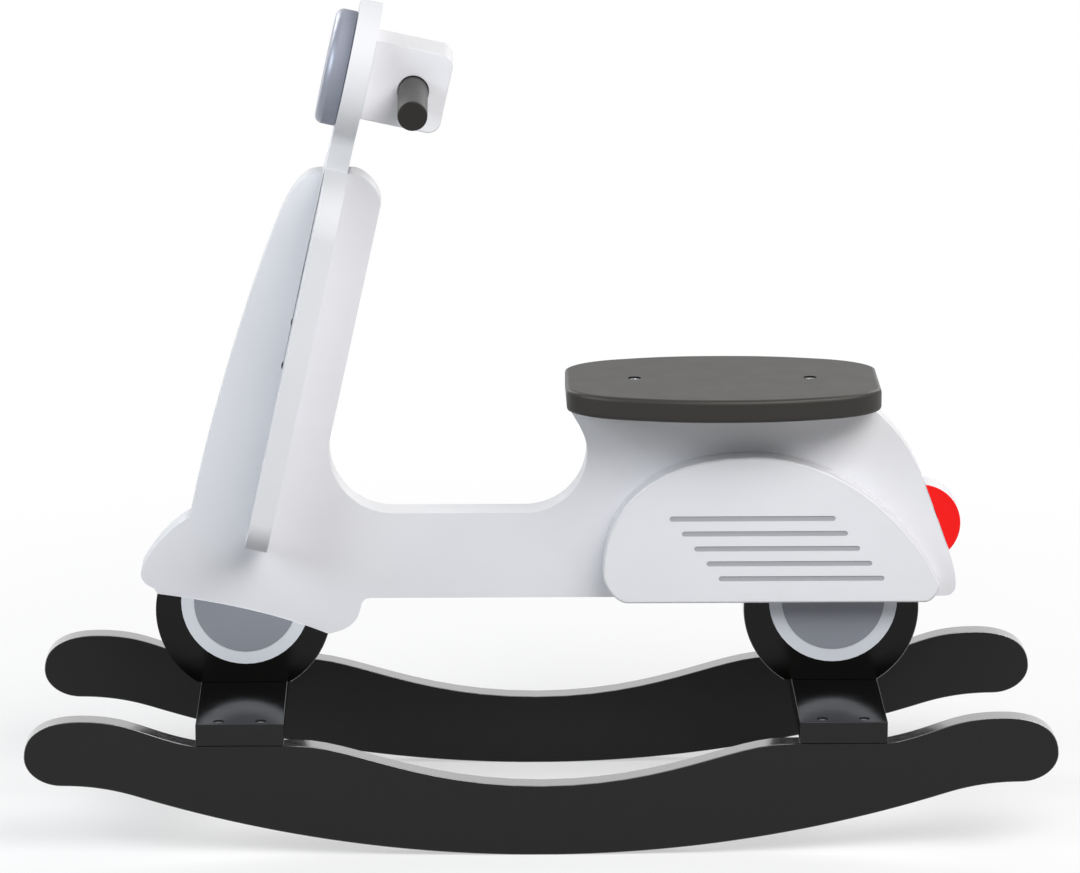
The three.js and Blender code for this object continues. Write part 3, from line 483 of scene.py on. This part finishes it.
def powder_lacquer(name, colour, roughness, shine):
    """Matt charcoal paint with a fine dry grain."""
    material, tree, shader = start_material(name)
    grain = spread(tree, patches(tree, POWDER_SIZE), 0, 1)
    grained = blend_colours(tree, grain, *drift(colour, POWDER_DRIFT))
    noise = patches(tree, POWDER_CLOUD_SIZE, CLOUDY)
    clouds = spread(tree, noise, 1 - POWDER_CLOUD_DRIFT, 1 + POWDER_CLOUD_DRIFT)
    tinted = tree.nodes.new("ShaderNodeVectorMath")
    tinted.operation = "SCALE"
    tree.links.new(grained, tinted.inputs["Vector"])
    tree.links.new(clouds, tinted.inputs["Scale"])
    tree.links.new(tinted.outputs["Vector"], shader.inputs["Base Color"])
    gloss = patches(tree, POWDER_GLOSS_SIZE, CLOUDY, seed=POWDER_GLOSS_SEED)
    low, high = roughness * (1 - POWDER_GLOSS_DRIFT), roughness * (1 + POWDER_GLOSS_DRIFT)
    vary_roughness(tree, shader, gloss, low, high)
    shader.inputs["Specular IOR Level"].default_value = shine
    shader.inputs["Specular Tint"].default_value = POWDER_SHINE_TINT
    fine = patches(tree, POWDER_FINE_SIZE, CLOUDY)
    broad = patches(tree, POWDER_BROAD_SIZE, seed=POWDER_BROAD_SEED)
    relief(tree, shader, [(fine, POWDER_FINE_DEPTH), (broad, POWDER_BROAD_DEPTH)])
    return material


def printed_film(name, colour):
    """Satin print: an even colour with a faint grain of ink."""
    material, tree, shader = start_material(name)
    ink = spread(tree, patches(tree, INK_SIZE), 0, 1)
    vary_colour(tree, shader, ink, drift(colour, INK_DRIFT))
    vary_roughness(tree, shader, patches(tree, FILM_GLOSS_SIZE, CLOUDY), *FILM_ROUGHNESS)
    relief(tree, shader, [(patches(tree, FILM_SIZE), FILM_DEPTH)])
    return material


def silver_lacquer(name, colour, roughness, metallic):
    """Silver-grey paint with fine metal flakes under its surface."""
    material, tree, shader = start_material(name)
    flakes = tree.nodes.new("ShaderNodeTexVoronoi")
    coordinates = tree.nodes.new("ShaderNodeTexCoord")
    flakes.inputs["Scale"].default_value = 1 / FLAKE_SIZE
    tree.links.new(coordinates.outputs["Object"], flakes.inputs["Vector"])
    sparkle = spread(tree, flakes.outputs["Distance"], 0, 1, *FLAKE_RANGE)
    vary_colour(tree, shader, sparkle, (shade(colour, FLAKE_LIGHT), shade(colour, FLAKE_DARK)))
    gloss = patches(tree, SILVER_GLOSS_SIZE, CLOUDY)
    low, high = roughness * (1 - SILVER_GLOSS_DRIFT), roughness * (1 + SILVER_GLOSS_DRIFT)
    vary_roughness(tree, shader, gloss, low, high)
    shader.inputs["Metallic"].default_value = metallic
    relief(tree, shader, [(patches(tree, SILVER_PEEL_SIZE), SILVER_PEEL_DEPTH)])
    return material


def dark_steel(name):
    """Dark zinc-plated steel with a fine grain and a few scuffs."""
    material, tree, shader = start_material(name)
    scuffs = spread(tree, patches(tree, SCUFF_SIZE, FIBROUS), 0, 1)
    vary_colour(tree, shader, scuffs, (STEEL_DARK, STEEL_LIGHT))
    gloss = patches(tree, STEEL_GLOSS_SIZE, CLOUDY, seed=STEEL_GLOSS_SEED)
    vary_roughness(tree, shader, gloss, *STEEL_ROUGHNESS)
    shader.inputs["Metallic"].default_value = 1
    relief(tree, shader, [(patches(tree, STEEL_GRAIN_SIZE, CLOUDY), STEEL_GRAIN_DEPTH)])
    return material


def beech(name, grain_direction):
    """Bare beech: pale wood whose grain runs along the dowel."""
    material, tree, shader = start_material(name)
    stretch = [GRAIN_STRETCH if part else 1 for part in grain_direction]
    grain = spread(tree, patches(tree, GRAIN_SIZE, FIBROUS, stretch), 0, 1)
    vary_colour(tree, shader, grain, (BEECH_DARK, BEECH_LIGHT))
    vary_roughness(tree, shader, patches(tree, BEECH_GLOSS_SIZE), *BEECH_ROUGHNESS)
    relief(tree, shader, [(patches(tree, PORE_SIZE, CLOUDY, stretch), PORE_DEPTH)])
    return material


# The toy's finishes. The numbers after a colour are its roughness and its shine.

WHITE_FACE = lacquer("white_face", (0.815, 0.82, 0.85), 0.42, seed=1)
# The edge whites are darker than the face white: partly the duller cut edges, partly painted
# shade that tones down the light on the walls.
WHITE_EDGE = lacquer("white_edge", (0.74, 0.745, 0.765), 0.46, fibres=True, seed=2)
SHIELD_EDGE = lacquer("shield_edge", (0.78, 0.788, 0.808), 0.58, 0.2, fibres=True, seed=8)
BLACK_FACE = lacquer("black_face", (0.0055, 0.0053, 0.006), 0.4, 0.28, seed=3)
BLACK_EDGE = lacquer("black_edge", (0.008, 0.008, 0.008), 0.24, 1, coat=1, fibres=True, seed=4)
BLACK_GLOSS = lacquer("black_gloss", (0.002, 0.002, 0.0022), 0.14, 0.32, seed=5)
TYRE_BLACK = lacquer("tyre_black", (0.002, 0.0018, 0.0016), 0.16, 0.2, seed=6)
# Near-black, rough and dull paint for the walls of screw holes: painted shade in the recesses.
HOLE_PAINTED_SHADE = lacquer("hole_painted_shade", (0.002, 0.002, 0.002), 0.6, 0.1, seed=9)
RED_FACE = lacquer("red_face", (0.95, 0.009, 0.008), 0.36, 0.18, seed=7)
CHARCOAL = powder_lacquer("charcoal", (0.0115, 0.0108, 0.0104), 0.45, 0.42)
BAR_CHARCOAL = powder_lacquer("bar_charcoal", (0.0105, 0.0098, 0.0096), 0.45, 0.28)
SILVER = silver_lacquer("silver", (0.29, 0.31, 0.37), 0.38, metallic=0.5)
SILVER_EDGE = silver_lacquer("silver_edge", (0.30, 0.315, 0.375), 0.75, metallic=0)
STRIPE_GREY = printed_film("stripe_grey", (0.40, 0.405, 0.43))
RING_WHITE = printed_film("ring_white", (0.73, 0.76, 0.81))
HUB_GREY = printed_film("hub_grey", (0.268, 0.283, 0.322))
STEEL = dark_steel("dark_steel")


# Boards


def make_rockers():
    """Two curved boards, left sharp under the crossbars and at their screws."""
    screws = nodes_named("crossbar_screw")

    def keep_sharp(edge):
        at_joint = near_nodes(edge_middle(edge), CROSSBARS, JOINT_MARGIN)
        return at_joint or near_fasteners(edge, screws)

    for hand in HANDS:
        node = f"rocker_{hand}"
        board(node, ACROSS, ROCKER_RIM, keep_sharp, [BLACK_FACE, BLACK_EDGE])


def make_crossbars():
    """Two glossy bars with sunk screw holes, whose walls carry painted shade."""
    for node in CROSSBARS:
        bm = cad_copy(node)
        low, high = BOXES[node]
        least = (high.z - low.z) / 2
        outline = [edge for edge in bm.edges if edge.is_convex and edge.calc_length() > least]
        sharp = [edge for edge in outline if edge.calc_face_angle(0) > SHARP_ANGLE]
        round_edges(bm, sharp, CROSSBAR_RIM)
        paint_hole_shade(bm, nodes_named("crossbar_screw"))
        finish_piece(f"{node}_board", bm, [BLACK_GLOSS, HOLE_PAINTED_SHADE], [node])


def make_wheels():
    """Two fixed boards, rounded only along the tyre's outline."""
    for wheel in WHEELS:
        centre, radius = tyre_circle(wheel)

        def off_the_tyre(edge):
            level = abs(edge.verts[0].co.z - edge.verts[1].co.z) < WELD
            return level or min(spans_from(edge, centre)) < radius - JOINT_MARGIN

        board(wheel, ACROSS, TYRE_RIM, off_the_tyre, [TYRE_BLACK, BLACK_EDGE])


def make_body_panel():
    """The scooter's side view in one board, left sharp in its slot and its other joints."""
    circles = [tyre_circle(wheel) for wheel in WHEELS]
    dowels = nodes_named("cover_dowel")
    slot_middle = middle(STEM_BOARD, FORWARD)
    slot_reach = reach(STEM_BOARD, FORWARD)[1] - slot_middle + SLOT_MARGIN
    panel_half = reach("body_panel", ACROSS)[1]
    places = [vertex.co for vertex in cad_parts[STEM_BOARD].data.vertices]
    slot_floor = min(co.dot(STEM_UP) for co in places if abs(co.y) < 2 * panel_half)

    def on_a_wheel(edge):
        for centre, radius in circles:
            if max(spans_from(edge, centre)) < radius + JOINT_MARGIN:
                return True
        return False

    def keep_sharp(edge):
        place = edge_middle(edge)
        beside_slot = abs(place.dot(FORWARD) - slot_middle) < slot_reach
        in_slot = beside_slot and place.dot(STEM_UP) > slot_floor
        at_tail_light = near_nodes(place, ["tail_light"], JOINT_MARGIN)
        return on_a_wheel(edge) or in_slot or at_tail_light or near_fasteners(edge, dowels)

    board("body_panel", ACROSS, WHITE_RIM, keep_sharp, [WHITE_FACE, WHITE_EDGE])


def make_leg_shield():
    """The leaning board with its head, left sharp where it is lapped into the body panel."""
    panel_half = reach("body_panel", ACROSS)[1]
    fasteners = nodes_named("block_screw") + nodes_named("headlight_dowel")

    def keep_sharp(edge):
        place = edge_middle(edge)
        low_down = place.z < BOXES["body_panel"][1].z
        in_slot = low_down and abs(place.y) < panel_half + JOINT_MARGIN * 2
        return in_slot or near_fasteners(edge, fasteners)

    board(STEM_BOARD, FORWARD, WHITE_RIM, keep_sharp, [WHITE_FACE, SHIELD_EDGE])


def make_handlebar_block():
    """The block on the back of the head, left sharp round its holes."""
    fasteners = ["handlebar", "handlebar_screw"] + nodes_named("block_screw")

    def keep_sharp(edge):
        return near_fasteners(edge, fasteners)

    finishes = [WHITE_FACE, WHITE_EDGE]
    board("handlebar_block", ACROSS, WHITE_RIM, keep_sharp, finishes)


def wall_depth(edge):
    """How far the wall beside a rim edge runs across the toy."""
    wall = min(edge.link_faces, key=lambda face: abs(face.normal.y))
    places = [vertex.co.y for vertex in wall.verts]
    return max(places) - min(places)


def make_side_covers():
    """Half teardrops whose routed lines are painted grey."""
    for hand in HANDS:
        node = f"side_cover_{hand}"
        low, high = reach(node, ACROSS)
        outer = low if hand == "left" else high
        bm = cad_copy(node)
        rims = [edge for edge in bm.edges if is_rim(edge, ACROSS)]
        rims = [edge for edge in rims if abs(edge_middle(edge).y - outer) < SAME_PLACE]
        rims = [edge for edge in rims if wall_depth(edge) > (high - low) / 2]
        round_edges(bm, rims, WHITE_RIM)
        paint_edges(bm, ACROSS)
        for face in bm.faces:
            depth = abs(face.calc_center_median().y - outer)
            in_a_line = SAME_PLACE < depth < LINE_DEPTH_LIMIT
            if in_a_line and abs(face.normal.y) > PAINT_COSINE:
                face.material_index = 2
        finishes = [WHITE_FACE, WHITE_EDGE, STRIPE_GREY]
        finish_piece(f"{node}_board", bm, finishes, [node])


def make_seat():
    """A barrel-shaped board with softened rims and two sunk screw holes, whose walls carry
    painted shade.
    """
    bm = cad_copy("seat")
    screws = nodes_named("seat_screw")
    edges = [edge for edge in bm.edges if edge.calc_face_angle(0) > CREASE_ANGLE]
    rims = [edge for edge in edges if edge.is_convex and not near_fasteners(edge, screws)]
    round_edges(bm, rims, SEAT_RIM, SEAT_RIM_STEPS)
    paint_hole_shade(bm, screws)
    finish_piece("seat_board", bm, [CHARCOAL, HOLE_PAINTED_SHADE], ["seat"])


def make_tail_light():
    """A half-moon with red faces and a white edge, left sharp at the body panel."""
    bm = cad_copy("tail_light")
    walls = [face for face in bm.faces if abs(face.normal.y) < WALL_COSINE]
    flat = max(walls, key=lambda face: face.calc_area())
    rims = [edge for edge in bm.edges if is_rim(edge, ACROSS) and flat not in edge.link_faces]
    round_edges(bm, rims, TAIL_LIGHT_RIM)
    for face in bm.faces:
        face.material_index = 0 if abs(face.normal.y) > WALL_COSINE else 1
    finish_piece("tail_light_board", bm, [RED_FACE, WHITE_EDGE], ["tail_light"])


# Turned pieces


def spun(profile, steps):
    """A closed solid spun about Z from a profile of radii and heights."""
    bm = bmesh.new()
    points = [bm.verts.new((radius, 0, height)) for radius, height in profile]
    edges = [bm.edges.new(pair) for pair in zip(points, points[1:])]
    bmesh.ops.spin(
        bm,
        geom=points + edges,
        cent=(0, 0, 0),
        axis=UP,
        angle=math.tau,
        steps=steps,
        use_merge=True,
    )
    bmesh.ops.remove_doubles(bm, verts=bm.verts, dist=WELD)
    bmesh.ops.recalc_face_normals(bm, faces=bm.faces)
    return bm


def arc(centre, radius, start, end, steps):
    """Points of a profile's rounding, by angles in degrees."""
    angles = [math.radians(start + (end - start) * step / steps) for step in range(steps + 1)]
    return [(centre[0] + radius * math.cos(a), centre[1] + radius * math.sin(a)) for a in angles]


def rounded_bar(radius, length, back_rounding, front_rounding, steps):
    """A bar spun about Z that starts at the origin, with both its ends rounded."""
    back, back_steps = back_rounding
    front, front_steps = front_rounding
    profile = [(0, 0)]
    profile += arc((radius - back, back), back, -90, 0, back_steps)
    profile += arc((radius - front, length - front), front, 0, 90, front_steps)
    profile += [(0, length)]
    return spun(profile, steps)


def turned_to(direction, place, spin=0.0):
    """A transform that turns Z to a direction and moves the origin to a place."""
    turn = direction.to_track_quat("Z", "Y").to_matrix().to_4x4()
    return Matrix.Translation(place) @ turn @ Matrix.Rotation(spin, 4, "Z")


def make_headlight():
    """A disc on the front of the head, with a rounded front edge and a matt wall."""
    back, front = reach("headlight", FORWARD)
    radius = reach("headlight", ACROSS)[1]
    bm = rounded_bar(
        radius,
        front - back,
        HEADLIGHT_BACK_ROUNDING,
        HEADLIGHT_FRONT_ROUNDING,
        HEADLIGHT_STEPS,
    )
    for face in bm.faces:
        face.material_index = 1 if abs(face.normal.z) < WALL_COSINE else 0
    place = FORWARD * back + STEM_UP * middle("headlight", STEM_UP)
    bmesh.ops.transform(bm, matrix=turned_to(FORWARD, place), verts=bm.verts)
    finish_piece("headlight_disc", bm, [SILVER, SILVER_EDGE], ["headlight"])


def make_handlebar():
    """One round bar with softened ends, across the toy."""
    left, right = reach("handlebar", ACROSS)
    low, high = reach("handlebar", UP)
    bm = rounded_bar((high - low) / 2, right - left, BAR_ROUNDING, BAR_ROUNDING, BAR_STEPS)
    place = Vector((middle("handlebar", ALONG), left, (low + high) / 2))
    bmesh.ops.transform(bm, matrix=turned_to(ACROSS, place), verts=bm.verts)
    finish_piece("handlebar_rod", bm, [BAR_CHARCOAL], ["handlebar"])


# Screws


def add_recess(bm, head_radius):
    """Closes a screw's open head with a flat top and a tapering cross-shaped recess."""
    rim = [edge for edge in bm.edges if edge.is_boundary]
    half = head_radius * RECESS_WIDTH_SHARE
    arm = head_radius * RECESS_ARM_SHARE - half
    square = bmesh.ops.create_grid(bm, x_segments=1, y_segments=1, size=half)["verts"]
    corners = set(square)
    sides = [edge for edge in bm.edges if edge.verts[0] in corners and edge.verts[1] in corners]
    for side in sides:
        outward = edge_middle(side).normalized()
        grown = bmesh.ops.extrude_edge_only(bm, edges=[side])["geom"]
        ends = [item for item in grown if isinstance(item, bmesh.types.BMVert)]
        bmesh.ops.translate(bm, vec=outward * arm, verts=ends)
    rim_set = set(rim)
    outline = [edge for edge in bm.edges if edge.is_boundary and edge not in rim_set]
    floor = {vertex for edge in outline for vertex in edge.verts} | corners
    walls = bmesh.ops.extrude_edge_only(bm, edges=outline)["geom"]
    mouth = [item for item in walls if isinstance(item, bmesh.types.BMEdge) and item.is_boundary]
    bmesh.ops.scale(bm, vec=(RECESS_TAPER, RECESS_TAPER, 1), verts=list(floor))
    bmesh.ops.translate(bm, vec=(0, 0, -RECESS_DEPTH), verts=list(floor))
    bmesh.ops.triangle_fill(bm, use_beauty=True, edges=rim + mouth)
    bmesh.ops.recalc_face_normals(bm, faces=bm.faces)


def make_screw(node, facing, turn):
    """A countersunk screw with a cross recess, whose head faces the given way."""
    tip, top = reach(node, facing)
    length = top - tip
    left, right = reach(node, ACROSS)
    head_radius = (right - left) / 2 - HEAD_SINK
    profile = [
        (0, HEAD_SINK - length),
        (SHANK_RADIUS, HEAD_SINK + SCREW_POINT - length),
        (SHANK_RADIUS, -HEAD_DEPTH),
        (head_radius, -HEAD_LAND),
        (head_radius, 0),
    ]
    bm = spun(profile, SCREW_STEPS)
    add_recess(bm, head_radius)
    sideways = facing.cross(ACROSS)
    head = facing * (top - HEAD_SINK)
    place = head + sideways * middle(node, sideways) + ACROSS * middle(node, ACROSS)
    bmesh.ops.transform(bm, matrix=turned_to(facing, place, turn), verts=bm.verts)
    finish_piece(f"{node}_recessed", bm, [STEEL], [node])


def make_screws():
    facings = [
        ("crossbar_screw", UP),
        ("seat_screw", UP),
        ("wheel_screw", -UP),
        ("block_screw", FORWARD),
        ("handlebar_screw", -STEM_UP),
    ]
    screws = [(node, facing) for text, facing in facings for node in nodes_named(text)]
    for count, (node, facing) in enumerate(screws, start=1):
        make_screw(node, facing, count * TURN_PER_SCREW)


# Films and dowels, whose CAD meshes are kept


def set_material(text, material):
    """Gives a material to the CAD nodes with a text in their names."""
    for node in nodes_named(text):
        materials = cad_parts[node].data.materials
        materials.clear()
        materials.append(material)


def finish_films():
    set_material("_ring_", RING_WHITE)
    set_material("_hub_", HUB_GREY)


def finish_dowels():
    set_material("wheel_dowel", beech("beech_upright", UP))
    set_material("cover_dowel", beech("beech_across", ACROSS))
    set_material("light_dowel", beech("beech_lengthwise", ALONG))


# Studio


def add_camera():
    """The photograph's viewpoint: a long lens at the left side, a little above."""
    camera = bpy.data.cameras.new("camera")
    camera.sensor_width = SENSOR_WIDTH
    camera.sensor_fit = "HORIZONTAL"
    camera.lens = FOCAL_PIXELS / PHOTO_WIDTH * SENSOR_WIDTH
    camera.clip_end = CAMERA_REACH
    holder = add_object("camera", camera)
    holder.location = CAMERA_PLACE
    holder.rotation_euler = (math.radians(90 - CAMERA_DIP), 0, math.radians(CAMERA_TURN))
    bpy.context.scene.camera = holder


def add_softbox(name, azimuth, elevation, size, power, colour=WHITE):
    """A soft lamp that faces the toy. Azimuth 0 is the photographed side, 90 the rear."""
    lamp = bpy.data.lights.new(name, "AREA")
    lamp.shape = "RECTANGLE"
    lamp.size, lamp.size_y = size
    lamp.energy = power
    lamp.color = colour
    holder = add_object(name, lamp)
    around = math.radians(azimuth)
    above = math.radians(elevation)
    level = Vector((math.sin(around), -math.cos(around), 0))
    way = level * math.cos(above) + UP * math.sin(above)
    holder.location = way * SOFTBOX_DISTANCE + SOFTBOX_AIM
    holder.rotation_euler = way.to_track_quat("Z", "Y").to_euler()
    holder.visible_camera = False


def add_lamps():
    """Two softboxes at the photographed side, and two weaker ones at the far side."""
    add_softbox(
        "key_softbox", azimuth=39, elevation=42, size=(2.8, 1.2), power=71, colour=WARM_LIGHT
    )
    add_softbox(
        "nose_softbox", azimuth=-62, elevation=27, size=(2.0, 1.0), power=31.5, colour=COOL_LIGHT
    )
    add_softbox("back_nose_softbox", azimuth=-140, elevation=28, size=(1.3, 1.3), power=24)
    add_softbox("back_tail_softbox", azimuth=140, elevation=28, size=(1.3, 1.3), power=19)


def in_view(tree):
    """A number that is 1 where the camera, a reflection or clear glass sees a surface."""
    path = tree.nodes.new("ShaderNodeLightPath")
    seen = path.outputs["Is Camera Ray"]
    for ray in ("Is Glossy Ray", "Is Transmission Ray"):
        seen = combined(tree, "MAXIMUM", seen, path.outputs[ray])
    return seen


def add_world():
    """A white room in view and in reflections, and a dim one for the fill light."""
    world = bpy.data.worlds.new("studio")
    world.use_nodes = True
    tree = world.node_tree
    colour = blend_colours(tree, in_view(tree), ROOM_FILL, WHITE)
    tree.links.new(colour, tree.nodes["Background"].inputs["Color"])
    bpy.context.scene.world = world


def distance_from_middle(tree):
    """How far a place on the floor is from the toy's middle."""
    coordinates = tree.nodes.new("ShaderNodeTexCoord")
    flat = tree.nodes.new("ShaderNodeMapping")
    flat.inputs["Scale"].default_value = (1, 1, 0)
    distance = tree.nodes.new("ShaderNodeVectorMath")
    distance.operation = "LENGTH"
    tree.links.new(coordinates.outputs["Object"], flat.inputs["Vector"])
    tree.links.new(flat.outputs["Vector"], distance.inputs[0])
    return distance.outputs["Value"]


def floor_paint():
    """A pale paint that gives way to plain white away from the toy, where it is in view."""
    material, tree, shader = start_material("floor")
    shader.inputs["Roughness"].default_value = FLOOR_ROUGHNESS
    shader.inputs["Specular IOR Level"].default_value = FLOOR_SHINE
    view = in_view(tree)
    vary_colour(tree, shader, view, (FLOOR_UNSEEN, FLOOR_SEEN))
    fade = spread(tree, distance_from_middle(tree), SHADOW_LIFT, 1, FADE_START, FADE_END)
    white = tree.nodes.new("ShaderNodeEmission")
    both = tree.nodes.new("ShaderNodeMixShader")
    tree.links.new(combined(tree, "MULTIPLY", fade, view), both.inputs["Fac"])
    tree.links.new(shader.outputs["BSDF"], both.inputs[1])
    tree.links.new(white.outputs["Emission"], both.inputs[2])
    tree.links.new(both.outputs["Shader"], tree.nodes["Material Output"].inputs["Surface"])
    return material


def add_floor():
    """A pale floor that keeps the toy's shadow and fades to the white room further out."""
    bm = bmesh.new()
    bmesh.ops.create_circle(bm, cap_ends=True, segments=FLOOR_STEPS, radius=FLOOR_RADIUS)
    mesh = bpy.data.meshes.new("floor")
    bm.to_mesh(mesh)
    bm.free()
    mesh.materials.append(floor_paint())
    add_object("floor", mesh)


def main():
    add_camera()
    make_rockers()
    make_crossbars()
    make_wheels()
    make_body_panel()
    make_leg_shield()
    make_handlebar_block()
    make_side_covers()
    make_seat()
    make_tail_light()
    make_headlight()
    make_handlebar()
    make_screws()
    finish_films()
    finish_dowels()
    add_lamps()
    add_world()
    add_floor()
    bpy.context.scene.view_settings.view_transform = "Standard"


main()
